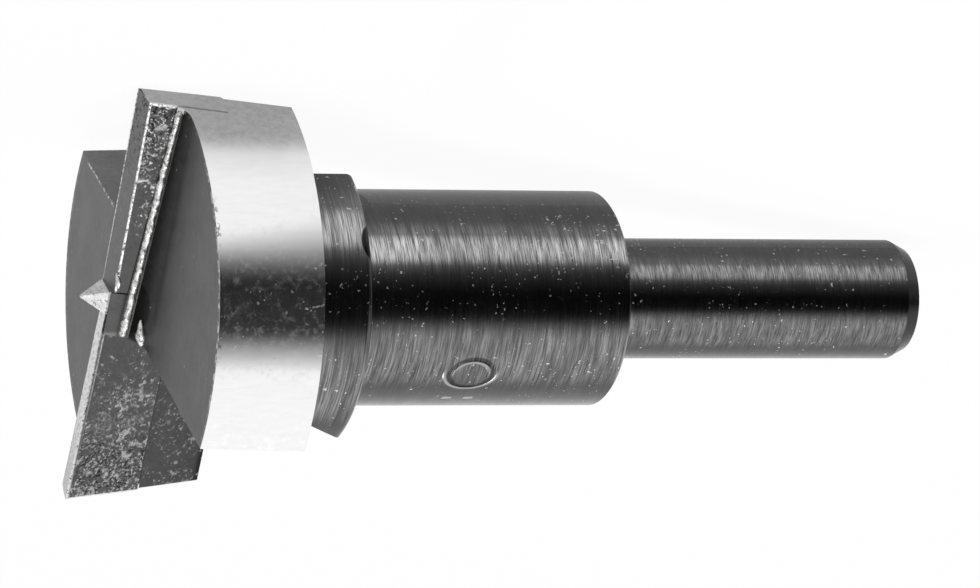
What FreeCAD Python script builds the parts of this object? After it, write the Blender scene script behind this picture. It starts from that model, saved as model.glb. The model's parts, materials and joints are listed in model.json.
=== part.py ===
import FreeCAD, Part

import math
import os

import Sketcher
from FreeCAD import Placement, Rotation, Vector

# A hinge boring bit with two brazed carbide cutting plates and a ground centre point.
# Each piece is drawn on the bit's own axis: local Z runs from the cutting plane to the shank,
# local X along the lower cutting plate, and local Y away from that plate's rake face.
# One common placement then lays the bit down with one gullet towards the ground, as it comes
# to rest: a corner each side of that gullet and the end of the shank touch the ground.

doc = FreeCAD.newDocument("hinge_boring_bit")

# Driving sizes in millimetres and degrees
sizes = doc.addObject("Spreadsheet::Sheet", "sizes")
DRIVING_SIZES = [
    ("cutting_diameter", 30.0),
    ("head_diameter", 29.9),
    ("collar_diameter", 20.2),
    ("boss_diameter", 14.2),
    ("shank_diameter", 8.0),
    ("land_depth", 2.7),
    ("land_length", 7.1),
    ("collar_length", 5.3),
    ("boss_length", 19.2),
    ("shank_length", 22.5),
    ("collar_edge_radius", 0.6),
    ("boss_edge_break", 0.15),
    ("shank_chamfer_length", 1.0),
    ("shank_chamfer_depth", 0.5),
    ("plate_thickness", 1.7),
    ("plate_height", 5.3),
    ("hook_angle", 11.3),
    ("flank_angle", 10.0),
    ("edge_dish", 0.2),
    ("rake_step", 0.12),
    ("braze_gap", 0.1),
    ("bead_height", 0.2),
    ("bead_width", 0.25),
    ("core_depth", 0.3),
    ("backing_depth_centre", 1.45),
    ("backing_depth_rim", 2.25),
    ("land_corner_radius", 2.0),
    ("point_width", 1.64),
    ("point_height", 1.43),
    ("point_shoulder", 0.15),
    ("point_tip_half_width", 0.06),
    ("web_half_width", 2.3),
    ("web_growth", 0.35),
    ("runout_angle", 31.0),
    ("cutter_overrun", 1.0),
    ("runout_overrun", 3.0),
]
for row, (name, value) in enumerate(DRIVING_SIZES, start=1):
    sizes.set(f"A{row}", name)
    sizes.set(f"B{row}", str(value))
    sizes.setAlias(f"B{row}", name)
doc.recompute()

# Places worked out from the driving sizes, as expressions
CUT_R = "(sizes.cutting_diameter / 2)"
HEAD_R = "(sizes.head_diameter / 2)"
COLLAR_R = "(sizes.collar_diameter / 2)"
BOSS_R = "(sizes.boss_diameter / 2)"
SHANK_R = "(sizes.shank_diameter / 2)"
LAND_END = "(sizes.land_depth + sizes.land_length)"
COLLAR_END = f"({LAND_END} + sizes.collar_length)"
BOSS_END = f"({COLLAR_END} + sizes.boss_length)"
SHANK_END = f"({BOSS_END} + sizes.shank_length)"
HALF_PLATE = "(sizes.plate_thickness / 2)"
HALF_POINT = "(sizes.point_width / 2)"
HOOK = "tan(sizes.hook_angle)"
SEAT_FLOOR = "(sizes.plate_height + sizes.braze_gap)"
OUTSIDE = f"({CUT_R} + sizes.cutter_overrun)"
IN_FRONT = "(-sizes.cutter_overrun)"


def value_of(expression):
    result = sizes.evalExpression(expression)
    return float(getattr(result, "Value", result))


def rake(depth):
    """Local Y of the plate's rake face at a depth behind the cutting plane."""
    return f"(-{HALF_PLATE} + {HOOK} * ({depth}))"


def plate_back(depth):
    return f"({rake(depth)} + sizes.plate_thickness)"


def seat_wall(depth):
    return f"({plate_back(depth)} + sizes.braze_gap)"


def backing_depth(reach):
    """Depth of the steel edge behind the plate, at a reach from the axis along the plate."""
    fall = f"(sizes.backing_depth_rim - sizes.backing_depth_centre) / {CUT_R}"
    return f"(sizes.backing_depth_centre + {fall} * ({reach}))"


def new_body(label):
    body = doc.addObject("PartDesign::Body", label)
    body.Label = label
    return body


def origin_feature(body, role):
    for feature in body.Origin.OriginFeatures:
        if feature.Role == role:
            return feature
    raise ValueError(role)


def new_sketch(body, name, plane, offset=None):
    sketch = body.newObject("Sketcher::SketchObject", name)
    sketch.AttachmentSupport = [(origin_feature(body, plane), "")]
    sketch.MapMode = "FlatFace"
    if offset is not None:
        sketch.setExpression("AttachmentOffset.Base.z", offset)
    return sketch


def pin_corner(sketch, edge, end, corner):
    """Ties one end of an edge to the expressions of its corner."""
    for kind, expression in zip(("DistanceX", "DistanceY"), corner):
        constraint = Sketcher.Constraint(kind, -1, 1, edge, end, value_of(expression))
        index = sketch.addConstraint(constraint)
        sketch.setExpression(f"Constraints[{index}]", expression)


def draw_outline(sketch, corners):
    """A closed outline of straight edges through corners given as pairs of expressions."""
    places = [Vector(value_of(across), value_of(along), 0) for across, along in corners]
    count = len(places)
    for start in range(count):
        end = (start + 1) % count
        sketch.addGeometry(Part.LineSegment(places[start], places[end]), False)
    for start in range(count):
        end = (start + 1) % count
        sketch.addConstraint(Sketcher.Constraint("Coincident", start, 2, end, 1))
        pin_corner(sketch, start, 1, corners[start])


def loft(body, name, kind, sections):
    feature = body.newObject(kind, name)
    feature.Profile = sections[0]
    feature.Sections = sections[1:]
    feature.Ruled = True
    return feature


def turn(body, name, kind, sketch):
    feature = body.newObject(kind, name)
    feature.Profile = sketch
    feature.ReferenceAxis = (origin_feature(body, "Z_Axis"), [""])
    feature.Angle = 360
    return feature


def trim_to_radius(body, name, radius):
    """Turns away all that stands outside a radius round the bit's axis."""
    sketch = new_sketch(body, f"{name}_section", "XZ_Plane")
    outer = f"({OUTSIDE} + sizes.cutter_overrun)"
    back = f"({SEAT_FLOOR} + sizes.cutter_overrun)"
    draw_outline(sketch, [(radius, IN_FRONT), (outer, IN_FRONT), (outer, back), (radius, back)])
    return turn(body, name, "PartDesign::Groove", sketch)


def half_turn_pattern(body, name, originals):
    pattern = body.newObject("PartDesign::PolarPattern", name)
    pattern.Originals = originals
    pattern.Axis = (origin_feature(body, "Z_Axis"), [""])
    pattern.Angle = 360
    pattern.Occurrences = 2
    body.Tip = pattern
    return pattern


# Steel body: shank, boss, collar and head turned from one bar
def draw_turned_profile(sketch):
    arc_start = (COLLAR_R, f"({COLLAR_END} - sizes.collar_edge_radius)")
    corners = [
        ("0", "sizes.core_depth"),
        (HEAD_R, "sizes.core_depth"),
        (HEAD_R, LAND_END),
        (COLLAR_R, LAND_END),
        arc_start,
        (f"({COLLAR_R} - sizes.collar_edge_radius)", COLLAR_END),
        (BOSS_R, COLLAR_END),
        (BOSS_R, f"({BOSS_END} - sizes.boss_edge_break)"),
        (f"({BOSS_R} - sizes.boss_edge_break)", BOSS_END),
        (SHANK_R, BOSS_END),
        (SHANK_R, f"({SHANK_END} - sizes.shank_chamfer_length)"),
        (f"({SHANK_R} - sizes.shank_chamfer_depth)", SHANK_END),
        ("0", SHANK_END),
    ]
    rounded_edge = corners.index(arc_start)
    places = [Vector(value_of(across), value_of(along), 0) for across, along in corners]
    count = len(places)
    for start in range(count):
        end = (start + 1) % count
        if start == rounded_edge:
            radius = value_of("sizes.collar_edge_radius")
            centre = places[start] - Vector(radius, 0, 0)
            circle = Part.Circle(centre, Vector(0, 0, 1), radius)
            edge = Part.ArcOfCircle(circle, 0, math.pi / 2)
        else:
            edge = Part.LineSegment(places[start], places[end])
        sketch.addGeometry(edge, False)
    for start in range(count):
        end = (start + 1) % count
        sketch.addConstraint(Sketcher.Constraint("Coincident", start, 2, end, 1))
        pin_corner(sketch, start, 1, corners[start])
    arc_radius = Sketcher.Constraint("Radius", rounded_edge, value_of("sizes.collar_edge_radius"))
    index = sketch.addConstraint(arc_radius)
    sketch.setExpression(f"Constraints[{index}]", "sizes.collar_edge_radius")


def gullet_section(body, name, depth, web, wall):
    """The open corner ahead of a rake face: web side, wing side and two sides in free air."""
    sketch = new_sketch(body, name, "XY_Plane", depth)
    draw_outline(sketch, [(web, wall), (OUTSIDE, wall), (OUTSIDE, f"-{OUTSIDE}"), (web, f"-{OUTSIDE}")])
    return sketch


def land_section(body, name, reach):
    """What is milled away in front of a land, with the cutter's round corner at the backing edge."""
    sketch = new_sketch(body, name, "YZ_Plane", reach)
    edge_depth = backing_depth(reach)
    edge = (seat_wall(edge_depth), edge_depth)
    edge_in_front = (plate_back(IN_FRONT), IN_FRONT)
    height = value_of(f"sizes.land_depth - {edge_depth}")
    radius = value_of("sizes.land_corner_radius")
    width = math.sqrt(2 * radius * height - height * height)
    start = Vector(value_of(edge[0]), value_of(edge[1]), 0)
    foot = Vector(start.x + width, value_of("sizes.land_depth"), 0)
    centre = foot - Vector(0, radius, 0)
    sweep_end = math.atan2(start.y - centre.y, start.x - centre.x)
    floor_end = Vector(value_of(OUTSIDE), foot.y, 0)
    front_outer = Vector(value_of(OUTSIDE), value_of(IN_FRONT), 0)
    front_inner = Vector(value_of(edge_in_front[0]), value_of(IN_FRONT), 0)
    circle = Part.Circle(centre, Vector(0, 0, 1), radius)
    sketch.addGeometry(Part.ArcOfCircle(circle, math.pi / 2, sweep_end), False)
    sketch.addGeometry(Part.LineSegment(start, front_inner), False)
    sketch.addGeometry(Part.LineSegment(front_inner, front_outer), False)
    sketch.addGeometry(Part.LineSegment(front_outer, floor_end), False)
    sketch.addGeometry(Part.LineSegment(floor_end, foot), False)
    for first, second in ((0, 1), (1, 2), (2, 3), (3, 4)):
        sketch.addConstraint(Sketcher.Constraint("Coincident", first, 2, second, 1))
    sketch.addConstraint(Sketcher.Constraint("Tangent", 4, 2, 0, 1))
    pin_corner(sketch, 1, 1, edge)
    pin_corner(sketch, 2, 1, edge_in_front)
    pin_corner(sketch, 3, 1, (OUTSIDE, IN_FRONT))
    pin_corner(sketch, 4, 1, (OUTSIDE, "sizes.land_depth"))
    index = sketch.addConstraint(Sketcher.Constraint("Radius", 0, radius))
    sketch.setExpression(f"Constraints[{index}]", "sizes.land_corner_radius")
    return sketch


def build_steel_body():
    body = new_body("steel_body")
    profile = new_sketch(body, "turned_profile", "XZ_Plane")
    draw_turned_profile(profile)
    turn(body, "turned_bar", "PartDesign::Revolution", profile)
    doc.recompute()

    land_inner = "(-sizes.web_half_width - sizes.cutter_overrun)"
    land_sections = [
        land_section(body, "land_section_web", land_inner),
        land_section(body, "land_section_rim", OUTSIDE),
    ]
    land = loft(body, "land_milling", "PartDesign::SubtractiveLoft", land_sections)

    wall_front = f"({rake('0')} + sizes.rake_step)"
    wall_back = f"({rake(LAND_END)} + sizes.rake_step)"
    web_back = "(sizes.web_half_width + sizes.web_growth)"
    runout_end = f"({COLLAR_END} + sizes.runout_overrun)"
    web_runout = f"({web_back} + tan(sizes.runout_angle) * ({runout_end} - {LAND_END}))"
    gullet_sections = [
        gullet_section(body, "gullet_section_front", "0", "sizes.web_half_width", wall_front),
        gullet_section(body, "gullet_section_land_end", LAND_END, web_back, wall_back),
        gullet_section(body, "gullet_section_runout", runout_end, web_runout, wall_back),
    ]
    gullet = loft(body, "gullet", "PartDesign::SubtractiveLoft", gullet_sections)

    seat_sketch = new_sketch(body, "plate_seat_section", "YZ_Plane", HALF_POINT)
    draw_outline(seat_sketch, [
        (rake(IN_FRONT), IN_FRONT),
        (seat_wall(IN_FRONT), IN_FRONT),
        (seat_wall(SEAT_FLOOR), SEAT_FLOOR),
        (rake(SEAT_FLOOR), SEAT_FLOOR),
    ])
    seat = body.newObject("PartDesign::Pocket", "plate_seat")
    seat.Profile = seat_sketch
    seat.Reversed = True
    seat.Length = value_of(OUTSIDE)
    seat.setExpression("Length", OUTSIDE)
    doc.recompute()
    half_turn_pattern(body, "both_sides", [land, gullet, seat])

    point_sketch = new_sketch(body, "point_seat_section", "XY_Plane", IN_FRONT)
    draw_outline(point_sketch, point_corners())
    point_seat = body.newObject("PartDesign::Pocket", "point_seat")
    point_seat.Profile = point_sketch
    point_seat.Reversed = True
    point_seat.Length = value_of(f"({SEAT_FLOOR} + sizes.cutter_overrun)")
    point_seat.setExpression("Length", f"({SEAT_FLOOR} + sizes.cutter_overrun)")
    body.Tip = point_seat
    return body


# Centre point: a square carbide pin between the plates, ground to a pyramid
def point_corners():
    return [
        (f"-{HALF_POINT}", f"-{HALF_PLATE}"),
        (HALF_POINT, f"-{HALF_PLATE}"),
        (HALF_POINT, HALF_PLATE),
        (f"-{HALF_POINT}", HALF_PLATE),
    ]


def build_centre_point():
    body = new_body("centre_point")
    root = new_sketch(body, "root_section", "XY_Plane", "sizes.point_shoulder")
    draw_outline(root, point_corners())
    pin = body.newObject("PartDesign::Pad", "square_root")
    pin.Profile = root
    pin.Length = value_of(f"({SEAT_FLOOR} - sizes.point_shoulder)")
    pin.setExpression("Length", f"({SEAT_FLOOR} - sizes.point_shoulder)")
    tip_flat = "sizes.point_tip_half_width"
    tip = new_sketch(body, "tip_section", "XY_Plane", "(-sizes.point_height)")
    draw_outline(tip, [
        (f"-{tip_flat}", f"-{tip_flat}"),
        (tip_flat, f"-{tip_flat}"),
        (tip_flat, tip_flat),
        (f"-{tip_flat}", tip_flat),
    ])
    base = new_sketch(body, "pyramid_base", "XY_Plane", "sizes.point_shoulder")
    draw_outline(base, point_corners())
    doc.recompute()
    pyramid = loft(body, "pyramid", "PartDesign::AdditiveLoft", [tip, base])
    body.Tip = pyramid
    return body


# Cutting plate: rake face, ground flank and the edge dished a little towards the centre
def plate_section(body, name, reach, edge_depth):
    sketch = new_sketch(body, name, "YZ_Plane", reach)
    flank_depth = f"({edge_depth} + tan(sizes.flank_angle) * sizes.plate_thickness)"
    draw_outline(sketch, [
        (rake(edge_depth), edge_depth),
        (plate_back(flank_depth), flank_depth),
        (plate_back("sizes.plate_height"), "sizes.plate_height"),
        (rake("sizes.plate_height"), "sizes.plate_height"),
    ])
    return sketch


def build_cutting_plate(label):
    body = new_body(label)
    sections = [
        plate_section(body, "inner_section", HALF_POINT, "sizes.edge_dish"),
        plate_section(body, "outer_section", OUTSIDE, "0"),
    ]
    loft(body, "plate_blank", "PartDesign::AdditiveLoft", sections)
    doc.recompute()
    body.Tip = trim_to_radius(body, "ground_rim", CUT_R)
    return body


# Braze: the film behind and under a plate, with the bead that shows along the backing edge
def bead_foot(edge_depth):
    """Where the bead ends on the land's round corner."""
    radius = "sizes.land_corner_radius"
    height = f"(sizes.land_depth - {edge_depth})"
    reach = f"(sqrt(2 * {radius} * {height} - {height} * {height}) - sizes.bead_width)"
    depth = f"(sizes.land_depth - {radius} + sqrt({radius} * {radius} - {reach} * {reach}))"
    return (f"({seat_wall(edge_depth)} + sizes.bead_width)", depth)


def braze_section(body, name, reach):
    sketch = new_sketch(body, name, "YZ_Plane", reach)
    edge_depth = backing_depth(reach)
    bead_top = f"({edge_depth} - sizes.bead_height)"
    draw_outline(sketch, [
        (plate_back(bead_top), bead_top),
        (seat_wall(edge_depth), bead_top),
        bead_foot(edge_depth),
        (seat_wall(edge_depth), edge_depth),
        (seat_wall(SEAT_FLOOR), SEAT_FLOOR),
        (rake(SEAT_FLOOR), SEAT_FLOOR),
        (rake("sizes.plate_height"), "sizes.plate_height"),
        (plate_back("sizes.plate_height"), "sizes.plate_height"),
    ])
    return sketch


def bead_tail_section(body, name, reach):
    """The bead alone, where it runs on past the plate along the side of the core."""
    sketch = new_sketch(body, name, "YZ_Plane", reach)
    edge_depth = backing_depth(reach)
    bead_top = f"({edge_depth} - sizes.bead_height)"
    lean = f"({plate_back(IN_FRONT)} - {seat_wall(edge_depth)}) / ({edge_depth} + sizes.cutter_overrun)"
    draw_outline(sketch, [
        (f"({seat_wall(edge_depth)} + {lean} * sizes.bead_height)", bead_top),
        (seat_wall(edge_depth), bead_top),
        bead_foot(edge_depth),
        (seat_wall(edge_depth), edge_depth),
    ])
    return sketch


def build_braze_seam(label):
    body = new_body(label)
    sections = [
        braze_section(body, "inner_section", HALF_POINT),
        braze_section(body, "outer_section", OUTSIDE),
    ]
    loft(body, "film_and_bead", "PartDesign::AdditiveLoft", sections)
    tail_sections = [
        bead_tail_section(body, "tail_end_section", "(-sizes.web_half_width)"),
        bead_tail_section(body, "tail_start_section", HALF_POINT),
    ]
    doc.recompute()
    loft(body, "bead_tail", "PartDesign::AdditiveLoft", tail_sections)
    doc.recompute()
    body.Tip = trim_to_radius(body, "rim_cut", HEAD_R)
    return body


# The upper plate and its braze are the lower ones turned half a turn about the axis
unturned_pieces = [build_steel_body(), build_centre_point()]
unturned_pieces.append(build_cutting_plate("cutting_plate_lower"))
unturned_pieces.append(build_braze_seam("braze_seam_lower"))
turned_pieces = [build_cutting_plate("cutting_plate_upper"), build_braze_seam("braze_seam_upper")]
doc.recompute()


# Lying pose: the gullet's two corners and the shank's last full circle touch the ground
TOUCHING_STEPS = 10


def lying_rotation():
    web = value_of("sizes.web_half_width + sizes.web_growth")
    head_radius = value_of(HEAD_R)
    land_corner = Vector(web, -math.sqrt(head_radius**2 - web**2), value_of(LAND_END))
    rake_offset = value_of(rake("sizes.plate_height"))
    plate_reach = math.sqrt(value_of(CUT_R) ** 2 - rake_offset**2)
    plate_corner = Vector(plate_reach, rake_offset, value_of("sizes.plate_height"))
    circle_centre = Vector(0, 0, value_of(f"{SHANK_END} - sizes.shank_chamfer_length"))
    shank_radius = value_of(SHANK_R)
    touching = circle_centre
    for _ in range(TOUCHING_STEPS):
        down = (plate_corner - land_corner).cross(touching - land_corner).normalize()
        towards_ground = Vector(down.x, down.y, 0).normalize()
        touching = circle_centre + towards_ground * shank_radius
    up = down * -1
    axis = Vector(0, 0, 1)
    along = (axis - up * axis.dot(up)).normalize()
    return Rotation(along, up.cross(along), up, "ZXY").inverted()


half_turn = Placement(Vector(), Rotation(Vector(0, 0, 1), 180))
lying = Placement(Vector(), lying_rotation())
for piece in unturned_pieces:
    piece.Placement = lying
for piece in turned_pieces:
    piece.Placement = lying.multiply(half_turn)
pieces = unturned_pieces + turned_pieces
doc.recompute()

# The origin lies on the ground, under the middle of the whole bit
outer_box = FreeCAD.BoundBox()
for piece in pieces:
    outer_box.add(piece.Shape.optimalBoundingBox(False))
to_origin = Placement(Vector(-outer_box.Center.x, -outer_box.Center.y, -outer_box.ZMin), Rotation())
for piece in pieces:
    piece.Placement = to_origin.multiply(piece.Placement)
doc.recompute()

for item in doc.Objects:
    if "Invalid" in item.State or "Error" in item.State:
        raise RuntimeError(f"{item.Label} failed: {item.State}")
for piece in pieces:
    if piece.Shape.isNull() or not piece.Shape.isValid() or len(piece.Shape.Solids) != 1:
        raise RuntimeError(f"{piece.Label} isn't one valid solid")

os.makedirs("parts", exist_ok=True)
for piece in pieces:
    piece.Shape.exportStep(os.path.join("parts", f"{piece.Label}.step"))
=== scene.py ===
import json
import math

import bpy
from mathutils import Matrix, Vector


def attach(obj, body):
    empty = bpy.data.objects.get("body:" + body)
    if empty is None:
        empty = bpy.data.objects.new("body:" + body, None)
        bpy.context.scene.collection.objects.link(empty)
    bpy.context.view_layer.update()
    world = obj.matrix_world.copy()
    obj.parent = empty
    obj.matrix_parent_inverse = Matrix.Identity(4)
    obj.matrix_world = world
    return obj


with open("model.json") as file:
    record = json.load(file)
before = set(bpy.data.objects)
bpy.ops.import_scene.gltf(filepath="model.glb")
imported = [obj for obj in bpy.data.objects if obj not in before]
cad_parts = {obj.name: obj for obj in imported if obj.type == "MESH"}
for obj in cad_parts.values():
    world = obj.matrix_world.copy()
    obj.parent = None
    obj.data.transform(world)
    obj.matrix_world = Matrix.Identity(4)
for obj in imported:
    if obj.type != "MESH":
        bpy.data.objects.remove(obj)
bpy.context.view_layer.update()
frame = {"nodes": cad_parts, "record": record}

MM = 0.001

# Sizes of the solids that the finishes go by, in millimetres: depths from the cutting centre, radii
# from the axis, half widths, and how far the rake face moves across for each step in depth
LAND_DEPTH = 2.7
HEAD_END = 9.8
COLLAR_END = 15.1
BEVEL_START = 55.8
SHANK_RADIUS = 4.0
BOSS_RADIUS = 7.1
HEAD_RADIUS = 14.95
PLATE_RADIUS = 15.0
HALF_PLATE = 0.85
HALF_WEB = 2.3
RAKE_SLOPE = 0.2
SOLDER_TINTS = (1.0, 0.995, 0.985)

# The bit's own directions, from its shank mount and from how far it has rolled on to its gullet
SHANK = next(mount for mount in frame["record"]["mounts"] if mount["name"] == "shank")
SHANK_MIDDLE_DEPTH = 45.05 * MM
AXIS = Vector(SHANK["axis"]).normalized()
CUTTING_CENTRE = Vector(SHANK["pos_m"]) - AXIS * SHANK_MIDDLE_DEPTH
GROUNDWARD = Vector((AXIS.z, 0, -AXIS.x))
SIDEWARD = AXIS.cross(GROUNDWARD)
BLADE_ROLL = math.radians(37.562)
BLADE = GROUNDWARD * math.cos(BLADE_ROLL) + SIDEWARD * math.sin(BLADE_ROLL)
BROAD = SIDEWARD * math.cos(BLADE_ROLL) - GROUNDWARD * math.sin(BLADE_ROLL)

# The camera stands beside the bit, a little towards its head, and is turned upside down:
# the gullet that lies on the ground is at the top of the picture
BLADE_ANGLE = math.radians(31.0)
PICTURE_UP = BLADE * math.cos(BLADE_ANGLE) - BROAD * math.sin(BLADE_ANGLE)
NEARWARD = BLADE * math.sin(BLADE_ANGLE) + BROAD * math.cos(BLADE_ANGLE)


def around(degrees):
    """Direction square to the axis, counted from the top of the picture towards the camera."""
    angle = math.radians(degrees)
    return PICTURE_UP * math.cos(angle) + NEARWARD * math.sin(angle)


def on_bit(blade, broad, depth):
    """Vector from the cutting centre in millimetres, along the blade, across it and in depth."""
    return BLADE * blade + BROAD * broad + AXIS * depth


# Finishes: procedural, and fixed to the bit
class Nodes:
    """The nodes of one material, or of the room."""
    def __init__(self, owner):
        owner.use_nodes = True
        self.tree = owner.node_tree

    def node(self, kind, **settings):
        node = self.tree.nodes.new(kind)
        for name, value in settings.items():
            setattr(node, name, value)
        return node

    def feed(self, socket, value):
        if isinstance(value, bpy.types.NodeSocket):
            self.tree.links.new(value, socket)
        else:
            socket.default_value = value

    def maths(self, operation, first, second=0.0):
        node = self.node("ShaderNodeMath", operation=operation)
        self.feed(node.inputs[0], first)
        self.feed(node.inputs[1], second)
        return node.outputs[0]

    def plus(self, first, second):
        return self.maths("ADD", first, second)

    def minus(self, first, second):
        return self.maths("SUBTRACT", first, second)

    def times(self, first, second):
        return self.maths("MULTIPLY", first, second)

    def inverse(self, mask):
        return self.minus(1.0, mask)

    def own_place(self):
        """Coordinates of the object itself, in metres."""
        return self.node("ShaderNodeTexCoord").outputs["Object"]

    def split(self, vector):
        """The X, Y and Z of a vector."""
        node = self.node("ShaderNodeSeparateXYZ")
        self.feed(node.inputs[0], vector)
        return node.outputs

    def grey_colour(self, grey, tints=(1.0, 1.0, 1.0)):
        """A colour from a grey number, each channel times its own tint."""
        node = self.node("ShaderNodeCombineColor")
        for socket, tint in zip(node.inputs, tints):
            self.feed(socket, self.times(grey, tint))
        return node.outputs[0]

    def surface(self, output, share, first, second):
        """A blend of two shaders, by the share of the second, into the named output."""
        blend = self.node("ShaderNodeMixShader")
        for socket, value in zip(blend.inputs, (share, first.outputs[0], second.outputs[0])):
            self.feed(socket, value)
        self.feed(self.tree.nodes[output].inputs["Surface"], blend.outputs[0])


class Finish(Nodes):
    """A metal finish that goes by the bit's own coordinates, in millimetres."""
    def __init__(self, name):
        self.material = bpy.data.materials.new(name)
        super().__init__(self.material)
        self.shader = self.tree.nodes["Principled BSDF"]
        self.shader.inputs["Metallic"].default_value = 1.0
        offset = self.vector("SUBTRACT", self.own_place(), CUTTING_CENTRE)
        self.place = self.vector("SCALE", offset, scale=1 / MM)
        self.depth = self.along(AXIS)
        self.blade = self.along(BLADE)
        self.broad = self.along(BROAD)
        self.radius = self.length_of(self.blade, self.broad)

    def vector(self, operation, first, second=(0, 0, 0), scale=1.0):
        node = self.node("ShaderNodeVectorMath", operation=operation)
        self.feed(node.inputs[0], first)
        self.feed(node.inputs[1], second)
        if operation == "SCALE":
            self.feed(node.inputs["Scale"], scale)
        return node.outputs["Value" if operation in ("DOT_PRODUCT", "LENGTH") else "Vector"]

    def along(self, direction):
        return self.vector("DOT_PRODUCT", self.place, direction)

    def length_of(self, first, second):
        """Length of a line from its two components square to each other."""
        return self.maths("SQRT", self.plus(self.times(first, first), self.times(second, second)))

    def combine(self, x, y, z):
        node = self.node("ShaderNodeCombineXYZ")
        for socket, value in zip(node.inputs, (x, y, z)):
            self.feed(socket, value)
        return node.outputs[0]

    def step(self, value, low, high):
        """0 below low, 1 above high, smooth between them; low above high turns it round."""
        node = self.node("ShaderNodeMapRange", interpolation_type="SMOOTHSTEP")
        start, end = (low, high) if low < high else (high, low)
        self.feed(node.inputs["Value"], value)
        self.feed(node.inputs["From Min"], start)
        self.feed(node.inputs["From Max"], end)
        self.feed(node.inputs["To Min"], 0.0 if low < high else 1.0)
        self.feed(node.inputs["To Max"], 1.0 if low < high else 0.0)
        return node.outputs["Result"]

    def near(self, value, middle, reach, soft):
        """1 within reach of the middle, falling to 0 over the soft width."""
        distance = self.maths("ABSOLUTE", self.minus(value, middle))
        return self.step(distance, reach + soft, reach)

    def both(self, *masks):
        """1 where all the masks are 1, as their product."""
        result = masks[0]
        for mask in masks[1:]:
            result = self.times(result, mask)
        return result

    def either(self, *masks):
        """1 where any of the masks is 1, as their maximum."""
        result = masks[0]
        for mask in masks[1:]:
            result = self.maths("MAXIMUM", result, mask)
        return result

    def mix(self, share, first, second):
        """A number between two numbers."""
        node = self.node("ShaderNodeMix", data_type="FLOAT")
        self.feed(node.inputs[0], share)
        self.feed(node.inputs[2], first)
        self.feed(node.inputs[3], second)
        return node.outputs[0]

    def scaled(self, value, mask, factor):
        """A value, times a factor where the mask is 1."""
        return self.times(value, self.mix(mask, 1.0, factor))

    def noise(self, vector, scale, detail=2.0, roughness=0.5):
        node = self.node("ShaderNodeTexNoise")
        self.feed(node.inputs["Vector"], vector)
        node.inputs["Scale"].default_value = scale
        node.inputs["Detail"].default_value = detail
        node.inputs["Roughness"].default_value = roughness
        node.inputs["Distortion"].default_value = 0.0
        return node.outputs[0]

    def flecks(self, per_mm, height, clusters, spread, soft=0.05):
        """Small irregular spots: peaks of a fine noise, kept where a broad noise is high."""
        peaks = self.step(self.noise(self.place, per_mm, 2.0), height, height + soft)
        keep = self.step(self.noise(self.place, clusters, 2.0), spread, spread + 0.08)
        return self.both(peaks, keep)

    def scratch(self, start, end, width):
        """1 along a line between two points, each given along the blade, across it and in depth."""
        first = on_bit(*start)
        run = on_bit(*end) - first
        from_first = self.vector("SUBTRACT", self.place, first)
        share = self.vector("DOT_PRODUCT", from_first, run / run.length_squared)
        share = self.maths("MAXIMUM", self.maths("MINIMUM", share, 1.0), 0.0)
        nearest = self.vector("SCALE", run, scale=share)
        distance = self.vector("LENGTH", self.vector("SUBTRACT", from_first, nearest))
        return self.step(distance, width, width * 0.4)

    def ring_lines(self, per_mm, sweep):
        """Turning marks that start and stop round the axis, on cylinders and end faces alike."""
        across = self.maths("DIVIDE", self.blade, self.radius)
        upward = self.maths("DIVIDE", self.broad, self.radius)
        travel = self.plus(self.depth, self.radius)
        return self.combine(
            self.times(travel, per_mm),
            self.times(across, sweep),
            self.times(upward, sweep),
        )

    def facing(self, degrees, reach, soft):
        """1 on the side that faces a direction round the axis, within reach degrees of it."""
        towards = self.maths("DIVIDE", self.along(around(degrees)), self.radius)
        inner, outer = math.radians(reach), math.radians(reach + soft)
        return self.step(towards, math.cos(outer), math.cos(inner))

    def bump(self, height):
        """The normal of a surface that stands proud by a height in millimetres."""
        node = self.node("ShaderNodeBump")
        node.inputs["Strength"].default_value = 1.0
        node.inputs["Distance"].default_value = MM
        self.feed(node.inputs["Height"], height)
        return node.outputs[0]

    def colour(self, grey, tints=(1.0, 1.0, 1.0)):
        self.feed(self.shader.inputs["Base Color"], self.grey_colour(grey, tints))

    def gloss(self, roughness, normal):
        self.feed(self.shader.inputs["Roughness"], roughness)
        self.feed(self.shader.inputs["Normal"], normal)


def turned_steel():
    """Blackened bar steel: turning marks, a bright ground rim, milled faces and a blank stamp."""
    steel = Finish("turned_blackened_steel")
    on_head = steel.step(steel.depth, HEAD_END + 0.03, HEAD_END - 0.03)
    turned_grey, turned_rough, turned_relief = turned_marks(steel)
    milled_grey, milled_rough, milled_relief = milled_faces(steel)
    rim = steel.step(steel.radius, HEAD_RADIUS - 0.05, HEAD_RADIUS - 0.02)
    rim_grey, rim_rough = ground_rim(steel)
    stamp, lip_highlight_and_dashes = stamped_ring(steel)

    # Painted shade darkens the stamped ring; the lip is lightened as a painted highlight, the
    # dashes as pale marks
    turned_grey = steel.scaled(turned_grey, stamp, 0.4)
    turned_grey = steel.mix(lip_highlight_and_dashes, turned_grey, 0.38)
    head_grey = steel.mix(rim, milled_grey, rim_grey)
    head_rough = steel.mix(rim, milled_rough, rim_rough)
    relief = steel.mix(on_head, turned_relief, steel.mix(rim, milled_relief, 0.0))
    relief = steel.minus(relief, steel.times(stamp, 0.12))
    relief = steel.plus(relief, steel.times(lip_highlight_and_dashes, 0.03))
    steel.colour(steel.mix(on_head, turned_grey, head_grey))
    steel.gloss(steel.mix(on_head, turned_rough, head_rough), steel.bump(relief))
    return steel.material


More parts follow.
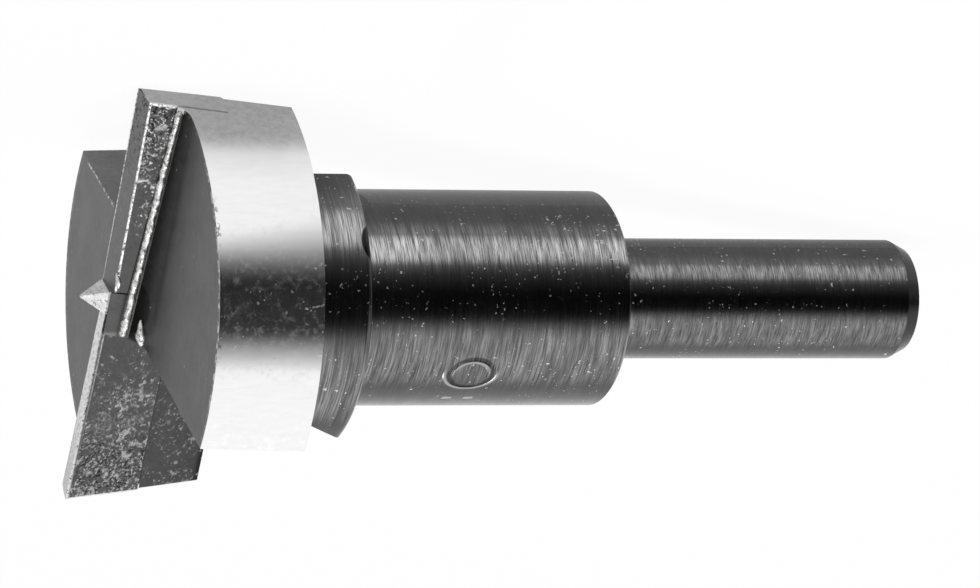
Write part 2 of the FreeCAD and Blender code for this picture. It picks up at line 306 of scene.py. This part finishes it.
def turned_marks(steel):
    """Grey, roughness and relief of shank, boss and collar, with fine marks, and painted highlights
    and shade that go by the side each face turns to.
    """
    marks = steel.step(steel.noise(steel.ring_lines(11.0, 3.6), 1.0, 3.0, 0.65), 0.30, 0.70)
    wide_marks = steel.step(steel.noise(steel.ring_lines(1.8, 2.0), 1.0, 2.0), 0.30, 0.70)
    cloud = steel.noise(steel.place, 0.3, 3.0)
    # Painted highlight: the marks are lightened on the side turned about 64 degrees from the top of
    # the picture
    painted_highlight_band = steel.plus(
        steel.times(steel.facing(64.0, 0.0, 9.5), 0.78),
        steel.times(steel.facing(62.0, 0.0, 17.0), 0.22))
    # Painted highlight, weaker: the marks are lightened on the side turned about 123 degrees
    painted_second_highlight = steel.facing(123.0, 8.0, 15.0)
    # Painted shade: the grey is halved along the side turned about 87 degrees, a painted dark
    # reflection
    painted_dark_band = steel.facing(87.0, 9.0, 9.0)
    # Painted light on the side towards the top of the picture, which faces the ground
    on_top = steel.facing(8.0, 14.0, 14.0)
    # Painted shade on the side towards the bottom of the picture
    on_low = steel.facing(165.0, 28.0, 20.0)
    on_collar = steel.step(steel.depth, COLLAR_END + 0.1, COLLAR_END - 0.1)
    on_shank = steel.step(steel.radius, SHANK_RADIUS + 0.3, SHANK_RADIUS + 0.1)
    painted_top_light = steel.times(on_top, steel.mix(on_shank, 0.04, 0.0))
    grey = steel.plus(steel.mix(cloud, 0.085, 0.115), painted_top_light)
    grey = steel.scaled(grey, painted_dark_band, 0.5)
    grey = steel.scaled(grey, on_low, 0.8)
    # lift: how bright the turning marks are; it carries the painted highlights
    lift = steel.mix(painted_highlight_band, 0.03, steel.mix(on_collar, steel.mix(on_shank, 0.85, 0.42), 0.68))
    lift = steel.plus(lift, steel.times(painted_second_highlight, steel.mix(on_shank, 0.21, 0.17)))
    far_side = steel.inverse(steel.facing(80.0, 70.0, 25.0))
    lift = steel.plus(lift, steel.times(far_side, 0.11))
    lift = steel.times(lift, steel.mix(wide_marks, 0.5, 1.1))
    end_bevel = steel.step(steel.depth, BEVEL_START - 0.08, BEVEL_START + 0.05)
    lift = steel.scaled(lift, end_bevel, 0.15)
    grey = steel.plus(grey, steel.times(marks, lift))
    spots = steel.either(
        steel.flecks(3.2, 0.69, 0.35, 0.48),
        steel.flecks(5.0, 0.69, 0.30, 0.45),
        steel.both(
            steel.flecks(3.6, 0.63, 0.45, 0.44),
            steel.facing(58.0, 12.0, 12.0),
            steel.near(steel.depth, 31.0, 2.5, 2.5)),
        steel.scratch((9.4, 3.0, 14.7), (9.7, 2.3, 14.9), 0.16),
    )
    grey = steel.mix(spots, grey, 0.6)
    # A dark spot at the collar's rear edge, with a slight dip in the relief
    spot_across = steel.maths("DIVIDE", steel.along(around(159.5)), 1.2)
    spot_along = steel.maths("DIVIDE", steel.minus(steel.depth, COLLAR_END), 0.72)
    collar_edge_dark_spot = steel.both(
        steel.step(steel.length_of(spot_across, spot_along), 1.05, 0.90),
        steel.step(steel.along(around(69.5)), 8.0, 8.5))
    grey = steel.scaled(grey, steel.either(end_bevel, collar_edge_dark_spot), 0.35)
    grey = steel.scaled(grey, collar_edge_dark_spot, 0.15)
    rough = steel.plus(steel.mix(cloud, 0.16, 0.23), steel.times(marks, 0.06))
    relief = steel.plus(steel.times(marks, 0.002), steel.times(spots, 0.01))
    relief = steel.minus(relief, steel.times(collar_edge_dark_spot, 0.03))
    return grey, rough, relief


def milled_faces(steel):
    """Grey, roughness and relief of the head's faces, with painted shade beside each bead of solder
    and painted light on the gullet walls.
    """
    grain = steel.noise(steel.place, 3.0, 4.0, 0.6)
    cloud = steel.noise(steel.place, 0.45, 3.0, 0.6)
    wipe = steel.noise(steel.combine(
        steel.times(steel.along(PICTURE_UP), 0.5),
        steel.times(steel.along(NEARWARD), 4.0),
        steel.depth,
    ), 1.0, 3.0, 0.6)
    grey = steel.times(steel.mix(grain, 0.082, 0.162), steel.mix(cloud, 0.75, 1.25))
    grey = steel.times(grey, steel.mix(wipe, 0.85, 1.15))
    land_side = steel.times(steel.blade, steel.maths("SIGN", steel.broad))
    # Painted light: the gullet walls, which face the shaded ground, are made lighter
    lightened_gullet_wall = steel.both(
        steel.near(land_side, -HALF_WEB - 0.1, 0.10, 0.08),
        steel.step(steel.depth, LAND_DEPTH, LAND_DEPTH + 0.04))
    web = steel.step(steel.radius, HALF_WEB + 0.15, HALF_WEB - 0.05)
    behind = steel.times(steel.broad, steel.maths("SIGN", steel.blade))
    behind_rake = steel.minus(behind, steel.times(steel.depth, RAKE_SLOPE))
    rake_wall = steel.both(
        steel.near(behind_rake, 0.12 - HALF_PLATE, 0.06, 0.05),
        steel.step(steel.radius, HALF_WEB, HALF_WEB + 0.2))
    grey = steel.scaled(grey, lightened_gullet_wall, 1.72)
    grey = steel.scaled(grey, web, 0.52)
    grey = steel.scaled(grey, rake_wall, 0.62)
    # Painted shade in the corner beside each bead: black at the bead, fading over about 2.6 mm
    bead_shade_lower, bead_shade_upper = (steel.both(
        steel.step(steel.broad, 1.10 * half_turn, 1.25 * half_turn),
        steel.step(steel.broad, 4.0 * half_turn, 1.4 * half_turn),
        steel.step(steel.blade, -2.9 * half_turn, -2.0 * half_turn),
    ) for half_turn in (1, -1))
    grey = steel.scaled(grey, steel.either(bead_shade_lower, bead_shade_upper), 0.10)
    ragged = steel.noise(steel.place, 2.4, 3.0, 0.7)
    worn_edge = steel.both(
        steel.step(steel.radius, HEAD_RADIUS - 0.4, HEAD_RADIUS - 0.2),
        steel.step(ragged, 0.48, 0.56),
        steel.mix(steel.facing(88.0, 28.0, 8.0), 0.25, 1.0),
        steel.step(steel.depth, LAND_DEPTH + 0.3, LAND_DEPTH),
    )
    rake_flecks = steel.either(
        steel.flecks(2.2, 0.58, 0.7, 0.44, 0.14), steel.flecks(5.0, 0.56, 0.9, 0.44, 0.14))
    marks = steel.either(
        worn_edge,
        steel.flecks(3.0, 0.71, 0.4, 0.55),
        steel.times(steel.both(rake_flecks, rake_wall), 0.5),
        steel.both(
            steel.step(ragged, 0.46, 0.60),
            steel.scratch((2.2, -13.8, LAND_DEPTH), (2.35, -7.6, LAND_DEPTH), 0.14)),
    )
    grey = steel.mix(marks, grey, 0.5)
    return grey, steel.mix(grain, 0.38, 0.5), steel.times(grain, 0.006)


def ground_rim(finish):
    """Grey and roughness of the cylinder ground round the head, over steel, carbide and solder."""
    grain = finish.noise(finish.combine(
        finish.times(finish.depth, 0.6),
        finish.times(finish.blade, 3.0),
        finish.times(finish.broad, 3.0),
    ), 1.0, 3.0, 0.6)
    mottle = finish.noise(finish.place, 2.2, 3.0, 0.7)
    nicks = finish.both(
        finish.step(finish.depth, LAND_DEPTH + 0.35, LAND_DEPTH + 0.1),
        finish.step(mottle, 0.52, 0.60),
        finish.facing(86.0, 16.0, 6.0))
    specks = finish.either(
        finish.both(finish.flecks(3.0, 0.66, 0.5, 0.45), finish.facing(98.0, 8.0, 6.0)),
        finish.both(
            finish.scratch((9.41, 11.61, 9.6), (9.05, 11.89, 8.9), 0.10),
            finish.step(mottle, 0.44, 0.54)),
        finish.both(
            finish.scratch((7.25, 13.07, 9.7), (7.03, 13.19, 8.5), 0.09),
            finish.step(mottle, 0.40, 0.50)),
    )
    grey = finish.mix(grain, 0.87, 0.97)
    # Painted shade, mottled, on the side towards the top of the picture, which faces the ground
    floor_side_shade = finish.mix(finish.step(mottle, 0.35, 0.65), 0.53, 0.62)
    grey = finish.scaled(grey, finish.facing(20.0, 26.0, 8.0), floor_side_shade)
    burnish = finish.noise(finish.combine(
        finish.times(finish.depth, 2.4),
        finish.times(finish.blade, 0.25),
        finish.times(finish.broad, 0.25),
    ), 1.0, 4.0, 0.6)
    far_side = finish.inverse(finish.facing(80.0, 82.0, 20.0))
    far_grey = finish.mix(finish.step(burnish, 0.3, 0.7), 0.76, 0.9)
    grey = finish.scaled(grey, far_side, far_grey)
    grey = finish.mix(nicks, grey, 0.35)
    rough = finish.mix(grain, 0.10, 0.17)
    rough = finish.plus(rough, finish.mix(specks, 0.0, 0.24))
    return grey, finish.plus(rough, finish.mix(finish.step(mottle, 0.45, 0.7), 0.0, 0.12))


def stamped_ring(steel):
    """The stamp on the boss, a plain oval ring, and its lip with two short dashes; the lip stands
    proud and has a painted highlight on parts of it.
    """
    ring_depth = 23.8
    ring_along = 1.52
    ring_across = 1.22
    outward = around(134.5)
    sideways = around(224.5)
    across = steel.maths("ARCTAN2", steel.along(sideways), steel.along(outward))
    across = steel.times(across, BOSS_RADIUS)
    along = steel.minus(steel.depth, ring_depth)
    oval = steel.length_of(
        steel.maths("DIVIDE", along, ring_along), steel.maths("DIVIDE", across, ring_across))
    ring = steel.near(oval, 1.0, 0.06, 0.09)
    from_middle = steel.maths("ABSOLUTE", steel.plus(along, 0.1))
    dashes = steel.both(
        steel.near(across, 2.85, 0.12, 0.14), steel.near(from_middle, 0.75, 0.25, 0.15))
    on_boss = steel.both(
        steel.step(steel.radius, BOSS_RADIUS - 0.6, BOSS_RADIUS - 0.2),
        steel.step(steel.radius, BOSS_RADIUS + 0.5, BOSS_RADIUS + 0.3))
    # Painted highlight along the lip: below on the outside, above on the inside
    painted_lip_highlight = steel.either(
        steel.both(steel.near(oval, 1.22, 0.03, 0.08), steel.step(across, -0.6, 0.6)),
        steel.both(steel.near(oval, 0.79, 0.03, 0.08), steel.step(across, 0.1, -0.8)))
    return steel.both(ring, on_boss), steel.both(steel.either(painted_lip_highlight, dashes), on_boss)


def sintered_carbide():
    """Grey carbide: pale flecks, denser towards the tips, a ground rim, bright ragged edges and a
    painted highlight along each heel.
    """
    carbide = Finish("sintered_carbide")
    grain = carbide.noise(carbide.place, 4.0, 4.0, 0.65)
    ragged = carbide.noise(carbide.place, 4.5, 3.0, 0.75)
    side = carbide.maths("SIGN", carbide.blade)
    reach = carbide.maths("ABSOLUTE", carbide.blade)
    behind = carbide.times(carbide.broad, side)
    upper_plate = carbide.step(carbide.blade, 0.1, -0.1)

    # The heel is the edge between the front face and the back of a plate
    heel_at_axis = 0.51
    heel_rise = 0.0135
    heel_depth = carbide.minus(heel_at_axis, carbide.times(reach, heel_rise))
    past_heel = carbide.minus(carbide.depth, heel_depth)
    on_back = carbide.both(
        carbide.step(behind, HALF_PLATE + 0.01, HALF_PLATE + 0.05),
        carbide.step(past_heel, -0.02, 0.02))
    on_front = carbide.both(
        carbide.step(past_heel, 0.0, -0.02),
        carbide.step(behind, 0.05 - HALF_PLATE, 0.11 - HALF_PLATE))
    towards_tip = carbide.step(reach, 7.0, 14.0)

    # Painted highlight: a glint along the heel edge, broken up by a ragged noise
    heel = carbide.both(
        carbide.step(behind, HALF_PLATE - 0.03, HALF_PLATE + 0.02),
        carbide.step(past_heel, 0.14, 0.08),
        carbide.step(ragged, 0.38, 0.52))
    cutting_edge = carbide.both(
        carbide.step(carbide.depth, 0.30, 0.12),
        carbide.step(behind, 0.15 - HALF_PLATE, 0.07 - HALF_PLATE),
        carbide.step(ragged, 0.40, 0.50))
    worn = carbide.mix(carbide.step(ragged, 0.36, 0.58), 0.38, carbide.mix(towards_tip, 1.1, 0.75))
    worn_front = carbide.both(on_front, upper_plate, worn)
    rim = carbide.both(
        carbide.step(carbide.radius, HEAD_RADIUS - 0.05, HEAD_RADIUS - 0.01),
        carbide.step(carbide.depth, 0.15, 0.3))
    rim_edge = carbide.both(
        carbide.step(carbide.radius, HEAD_RADIUS - 0.25, HEAD_RADIUS - 0.15),
        carbide.step(ragged, 0.38, 0.50),
        on_back)

    dust = carbide.either(
        carbide.flecks(5.0, 0.60, 0.45, 0.46, 0.14), carbide.flecks(2.4, 0.60, 0.6, 0.48, 0.16))
    tip_flecks = carbide.both(carbide.flecks(5.5, 0.50, 0.9, 0.40, 0.18), towards_tip)
    tip_pits = carbide.both(carbide.flecks(4.5, 0.50, 0.8, 0.38, 0.12), towards_tip)
    waver = carbide.times(carbide.noise(carbide.place, 0.7, 2.0), 2.4)
    wavering = carbide.plus(carbide.blade, waver)
    bands = carbide.either(
        carbide.near(wavering, -6.4, 0.15, 0.5), carbide.near(wavering, -8.3, 0.3, 0.7))
    drift = carbide.step(carbide.noise(carbide.place, 0.8, 2.0), 0.42, 0.60)
    band_flecks = carbide.both(bands, drift, carbide.step(ragged, 0.46, 0.62))
    blots = carbide.both(
        carbide.flecks(1.5, 0.56, 0.5, 0.42, 0.10),
        carbide.step(ragged, 0.36, 0.54),
        carbide.step(reach, 5.0, 8.0))
    rake_scratch = carbide.both(
        carbide.scratch((-9.6, 0.28, 2.85), (-12.5, 0.08, 3.85), 0.09),
        carbide.step(ragged, 0.40, 0.55))
    plain_front = carbide.both(on_front, carbide.inverse(upper_plate))
    flecks = carbide.either(dust, tip_flecks, carbide.times(band_flecks, 0.7), blots, rake_scratch)
    flecks = carbide.both(flecks, carbide.inverse(plain_front))
    bright = carbide.either(
        carbide.times(flecks, 0.56), heel, cutting_edge, worn_front, rim_edge, rim)

    cloud = carbide.noise(carbide.place, 1.2, 3.0, 0.6)
    grey = carbide.times(carbide.mix(grain, 0.06, 0.13), carbide.mix(cloud, 0.8, 1.2))
    grey = carbide.times(grey, carbide.mix(on_front, carbide.mix(on_back, 1.0, 0.7), 1.55))
    grey = carbide.scaled(grey, tip_pits, 0.2)
    rim_grey, rim_rough = ground_rim(carbide)
    carbide.colour(carbide.mix(rim, carbide.mix(bright, grey, 0.72), rim_grey))
    relief = carbide.plus(carbide.times(grain, 0.006), carbide.times(flecks, 0.01))
    relief = carbide.times(relief, carbide.inverse(rim))
    proud_side = carbide.step(carbide.radius, PLATE_RADIUS - 0.015, PLATE_RADIUS - 0.025)
    rim_rough = carbide.mix(proud_side, rim_rough, 0.7)
    carbide.gloss(carbide.mix(rim, carbide.mix(grain, 0.34, 0.5), rim_rough), carbide.bump(relief))
    return carbide.material


def ground_point():
    """The centre point, ground bright on its four faces, with a few dark pits."""
    point = Finish("ground_point")
    grain = point.noise(point.place, 5.0, 4.0, 0.7)
    pits = point.step(point.noise(point.place, 6.0, 2.0), 0.60, 0.66)
    dull = point.noise(point.place, 2.0, 3.0, 0.7)
    grey = point.times(point.mix(grain, 0.28, 0.75), point.mix(pits, 1.0, 0.3))
    grey = point.times(grey, point.mix(dull, 0.6, 1.3))
    point.colour(grey)
    point.gloss(point.mix(grain, 0.3, 0.45), point.bump(point.times(grain, 0.01)))
    return point.material


def silver_solder():
    """Bright lumpy solder with dark pits, as it stands along the back of a plate."""
    solder = Finish("silver_solder")
    lumps = solder.noise(solder.place, 2.5, 3.0, 0.6)
    sand = solder.noise(solder.place, 8.0, 3.0, 0.7)
    pits = solder.step(solder.noise(solder.place, 5.0, 2.0), 0.56, 0.64)
    grey = solder.times(solder.mix(lumps, 0.5, 0.85), solder.mix(pits, 1.0, 0.35))
    grey = solder.times(grey, solder.mix(solder.step(sand, 0.35, 0.6), 0.55, 1.05))
    solder.colour(grey, SOLDER_TINTS)
    relief = solder.plus(solder.times(lumps, 0.03), solder.times(sand, 0.025))
    solder.gloss(solder.mix(lumps, 0.32, 0.45), solder.bump(relief))
    return solder.material


def solder_film():
    """The film of solder under a plate, burnt dark, but ground bright where it meets the rim."""
    film = Finish("solder_film")
    grain = film.noise(film.place, 3.0, 3.0, 0.6)
    rim = film.step(film.radius, HEAD_RADIUS - 0.45, HEAD_RADIUS - 0.35)
    rim_grey, rim_rough = ground_rim(film)
    film.colour(film.mix(rim, film.mix(grain, 0.03, 0.09), rim_grey), SOLDER_TINTS)
    rough = film.mix(rim, film.mix(grain, 0.35, 0.5), rim_rough)
    relief = film.times(film.inverse(rim), film.times(grain, 0.01))
    film.gloss(rough, film.bump(relief))
    return film.material


def dress(node, material):
    piece = frame["nodes"][node]
    for slot in piece.material_slots:
        slot.material = material


CARBIDE = sintered_carbide()
SOLDER = silver_solder()
FILM = solder_film()
dress("steel_body", turned_steel())
dress("centre_point", ground_point())
for plate in ("cutting_plate_upper", "cutting_plate_lower"):
    dress(plate, CARBIDE)
for seam in ("braze_seam_upper", "braze_seam_lower"):
    dress(seam, FILM)


# Solder that stands proud: modelled in millimetres and then laid on the bit
BEAD_RADIUS = 0.26


def lay_on_bit(piece, start, run, across):
    """Bring a piece from its own millimetres to its place: its Z along the run, its X across."""
    along = run.normalized()
    side = (across - along * across.dot(along)).normalized()
    third = along.cross(side)
    turn = Matrix((side, third, along)).transposed().to_4x4()
    place = CUTTING_CENTRE + start * MM
    piece.matrix_world = Matrix.Translation(place) @ turn @ Matrix.Scale(MM, 4)
    only(piece)
    bpy.ops.object.transform_apply(location=True, rotation=True, scale=True)
    bpy.ops.object.shade_smooth()
    piece.data.materials.append(SOLDER)
    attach(piece, "root")


def only(piece):
    bpy.ops.object.select_all(action="DESELECT")
    piece.select_set(True)
    bpy.context.view_layer.objects.active = piece


def select_edges(piece, chosen):
    """Select the edges whose two ends satisfy a test. It starts and ends in edit mode."""
    bpy.ops.mesh.select_mode(type="EDGE")
    bpy.ops.mesh.select_all(action="DESELECT")
    bpy.ops.object.mode_set(mode="OBJECT")
    points = piece.data.vertices
    for edge in piece.data.edges:
        first, second = (points[index].co for index in edge.vertices)
        edge.select = chosen(first, second)
    bpy.ops.object.mode_set(mode="EDIT")


def make_lumpy(piece, size, amount, direction="NORMAL"):
    lumps = bpy.data.textures.new("solder_lumps", "CLOUDS")
    lumps.noise_scale = size
    lumps.noise_depth = 1
    swell = piece.modifiers.new("swell", "DISPLACE")
    swell.texture = lumps
    swell.direction = direction
    swell.strength = amount
    only(piece)
    bpy.ops.object.modifier_apply(modifier="swell")


def braze_bead(name, half_turn):
    """The lumpy bead in the corner between the back of a plate and the head."""
    start = on_bit(-2.25 * half_turn, 1.34 * half_turn, 1.45)
    end = on_bit(14.6 * half_turn, 1.46 * half_turn, 2.2)
    run = end - start
    length = run.length
    bpy.ops.object.select_all(action="DESELECT")
    bpy.ops.mesh.primitive_cylinder_add(
        vertices=14, radius=BEAD_RADIUS, depth=length, location=(0, 0, 0))
    bead = bpy.context.object
    bead.name = name
    bpy.ops.object.mode_set(mode="EDIT")
    bpy.ops.mesh.select_all(action="SELECT")
    bpy.ops.transform.translate(value=(0, 0, length / 2))
    select_edges(bead, lambda first, second: abs(first.z - second.z) > 1)
    bpy.ops.mesh.subdivide(number_cuts=110)
    select_edges(bead, lambda first, second: (
        max(first.z, second.z) < 0.01 or min(first.z, second.z) > length - 0.01))
    bpy.ops.transform.resize(value=(0.5, 0.5, 1))
    bpy.ops.object.mode_set(mode="OBJECT")
    make_lumpy(bead, 0.32, 0.22)
    make_lumpy(bead, 2.4, 0.14, "X")
    lay_on_bit(bead, start, run, on_bit(0, 1, 0) * half_turn)


def solder_drop(name, middle, run, upward, length, width):
    """A drop of solder that has run out along the head and set there."""
    bpy.ops.object.select_all(action="DESELECT")
    bpy.ops.mesh.primitive_uv_sphere_add(segments=20, ring_count=14, radius=0.5, location=(0, 0, 0))
    drop = bpy.context.object
    drop.name = name
    bpy.ops.object.mode_set(mode="EDIT")
    bpy.ops.mesh.select_all(action="SELECT")
    bpy.ops.transform.resize(value=(width * 0.7, width, length))
    select_edges(drop, lambda first, second: min(first.z, second.z) > 0.05 * length)
    bpy.ops.transform.resize(value=(1.2, 1.25, 1))
    select_edges(drop, lambda first, second: max(first.z, second.z) < -0.05 * length)
    bpy.ops.transform.resize(value=(0.75, 0.7, 1))
    bpy.ops.object.mode_set(mode="OBJECT")
    make_lumpy(drop, 0.4, 0.15)
    lay_on_bit(drop, middle, run, upward)


braze_bead("braze_bead_lower", 1)
braze_bead("braze_bead_upper", -1)
solder_drop(
    "solder_drop_tail", middle=on_bit(-1.5, 2.05, 2.36), run=on_bit(-1.0, 0.22, 0.12),
    upward=on_bit(0, 0.58, -0.81), length=1.8, width=0.66)
solder_drop(
    "solder_drop_heel", middle=on_bit(1.75, 0.93, 0.55), run=on_bit(-1.0, 0.17, 0.3),
    upward=on_bit(0, 0.7, -0.7), length=1.1, width=0.36)


# Stage: a sheet of white paper, toned dark towards the front, where only the metal mirrors it.
# The paper stays pale up to PALE_SPREAD, an area in square metres
HEAD_REACH = 30 * MM
PALE_SPREAD = 380e-6
TONE_FALL = 1.5
PAPER_WHITENESS = 0.92
SHADOW_SHARE = 0.05
MIRRORED_SHARE = 0.45
PAPER_SIZE = 4.0


def paper_finish():
    """White to the camera. To the metal it darkens with the product of two distances: forward of
    the bit, and from its head along it."""
    paper = bpy.data.materials.new("white_paper")
    nodes = Nodes(paper)
    shader = nodes.tree.nodes["Principled BSDF"]
    shader.inputs["Roughness"].default_value = 0.9
    shader.inputs["Specular IOR Level"].default_value = 0.1
    white = nodes.node("ShaderNodeEmission")
    white.inputs["Strength"].default_value = 1.0

    place = nodes.split(nodes.own_place())
    forward = nodes.maths("MAXIMUM", place["Y"], 0.0)
    from_head = nodes.maths("MAXIMUM", nodes.plus(place["X"], HEAD_REACH), 0.0)
    spread = nodes.maths("MAXIMUM", nodes.times(forward, from_head), PALE_SPREAD)
    pale = nodes.maths("POWER", nodes.maths("DIVIDE", PALE_SPREAD, spread), TONE_FALL)
    grey = nodes.times(pale, PAPER_WHITENESS)
    nodes.feed(shader.inputs["Base Color"], nodes.grey_colour(grey))

    rays = nodes.node("ShaderNodeLightPath").outputs
    shadow = nodes.times(nodes.maths("POWER", pale, 3.0), SHADOW_SHARE)
    seen = nodes.times(rays["Is Camera Ray"], nodes.inverse(shadow))
    mirrored = nodes.times(rays["Is Glossy Ray"], nodes.times(pale, MIRRORED_SHARE))
    nodes.surface("Material Output", nodes.plus(seen, mirrored), shader, white)
    return paper


def paper_sheet():
    """A large flat sheet, wide enough to fill the picture from every side."""
    bpy.ops.object.select_all(action="DESELECT")
    bpy.ops.mesh.primitive_plane_add(size=PAPER_SIZE, location=(0, 0, 0))
    sheet = bpy.context.object
    sheet.name = "paper_sheet"
    bpy.ops.object.mode_set(mode="EDIT")
    bpy.ops.mesh.select_all(action="SELECT")
    bpy.ops.mesh.subdivide(number_cuts=3)
    bpy.ops.object.mode_set(mode="OBJECT")
    sheet.data.materials.append(paper_finish())


def black_card(azimuth, distance, half_width, top, fade_start):
    """A card beside the camera, unseen by it, that puts a dark band along the metal. It is black
    at its foot and turns pale from fade_start up to its top."""
    bpy.ops.object.select_all(action="DESELECT")
    turn = math.radians(azimuth)
    middle = (math.cos(turn) * distance, math.sin(turn) * distance, top / 2)
    bpy.ops.mesh.primitive_plane_add(
        size=1, location=middle, rotation=(math.pi / 2, 0, turn + math.pi / 2))
    card = bpy.context.object
    card.name = "black_card"
    card.scale = (2 * half_width, top, 1)
    bpy.ops.object.transform_apply(location=True, rotation=True, scale=True)

    black = bpy.data.materials.new("black_card")
    nodes = Nodes(black)
    shader = nodes.tree.nodes["Principled BSDF"]
    shader.inputs["Roughness"].default_value = 0.9
    fade = nodes.node("ShaderNodeMapRange")
    nodes.feed(fade.inputs["Value"], nodes.split(nodes.own_place())["Z"])
    fade.inputs["From Min"].default_value = fade_start
    fade.inputs["From Max"].default_value = top
    fade.inputs["To Min"].default_value = 0.015
    fade.inputs["To Max"].default_value = 1.0
    nodes.feed(shader.inputs["Base Color"], nodes.grey_colour(fade.outputs["Result"]))
    card.data.materials.append(black)
    card.visible_camera = False


paper_sheet()
black_card(azimuth=64, distance=0.35, half_width=0.20, top=0.265, fade_start=0.14)


# Light: a pale room that metal mirrors as white, and a soft box overhead
ROOM_LIGHT = 0.55


def room():
    world = bpy.data.worlds.new("room")
    bpy.context.scene.world = world
    nodes = Nodes(world)
    dim = nodes.tree.nodes["Background"]
    white = nodes.node("ShaderNodeBackground")
    for shader, strength in ((dim, ROOM_LIGHT), (white, 1.0)):
        shader.inputs["Color"].default_value = (1, 1, 1, 1)
        shader.inputs["Strength"].default_value = strength
    rays = nodes.node("ShaderNodeLightPath").outputs
    seen = nodes.maths("MAXIMUM", rays["Is Camera Ray"], rays["Is Glossy Ray"])
    seen_or_clear = nodes.maths("MAXIMUM", seen, rays["Is Transmission Ray"])
    nodes.surface("World Output", seen_or_clear, dim, white)


def soft_box(name, azimuth, elevation, distance, width, height, radiance):
    """A lamp with an even face, turned to the bit. Azimuth is counted from +X towards +Y."""
    lamp = bpy.data.lights.new(name, "AREA")
    lamp.shape = "RECTANGLE"
    lamp.size = width
    lamp.size_y = height
    lamp.energy = radiance * math.pi * width * height
    box = bpy.data.objects.new(name, lamp)
    bpy.context.scene.collection.objects.link(box)
    turn = math.radians(azimuth)
    rise = math.radians(elevation)
    level = math.cos(rise)
    outward = Vector((level * math.cos(turn), level * math.sin(turn), math.sin(rise)))
    box.location = outward * distance
    box.rotation_euler = outward.to_track_quat("Z", "Y").to_euler()
    box.visible_camera = False


room()
soft_box(
    "overhead_box", azimuth=0, elevation=90, distance=0.9, width=0.42, height=0.42, radiance=7.6)


# Camera, fitted to the photo: its directions on the bit, and how far it aims along and above the
# cutting centre
CAMERA_DISTANCE = 484.5 * MM
AIM_ALONG = 25.13 * MM
AIM_ABOVE = 0.149 * MM


def place_camera():
    lens = bpy.data.cameras.new("camera")
    lens.lens = 275.5
    lens.sensor_width = 36.0
    lens.clip_start = 0.01
    camera = bpy.data.objects.new("camera", lens)
    bpy.context.scene.collection.objects.link(camera)
    rightward = (AXIS * 0.92585 + NEARWARD * 0.37787 + PICTURE_UP * 0.0033).normalized()
    backward = (NEARWARD * 0.92586 - AXIS * 0.37787 - PICTURE_UP * 0.00136).normalized()
    upward = backward.cross(rightward)
    aim = CUTTING_CENTRE + rightward * AIM_ALONG + upward * AIM_ABOVE
    centre = aim + backward * CAMERA_DISTANCE
    turn = Matrix((rightward, upward, backward)).transposed()
    camera.matrix_world = Matrix.Translation(centre) @ turn.to_4x4()
    bpy.context.scene.camera = camera


place_camera()
bpy.context.scene.view_settings.view_transform = "Standard"
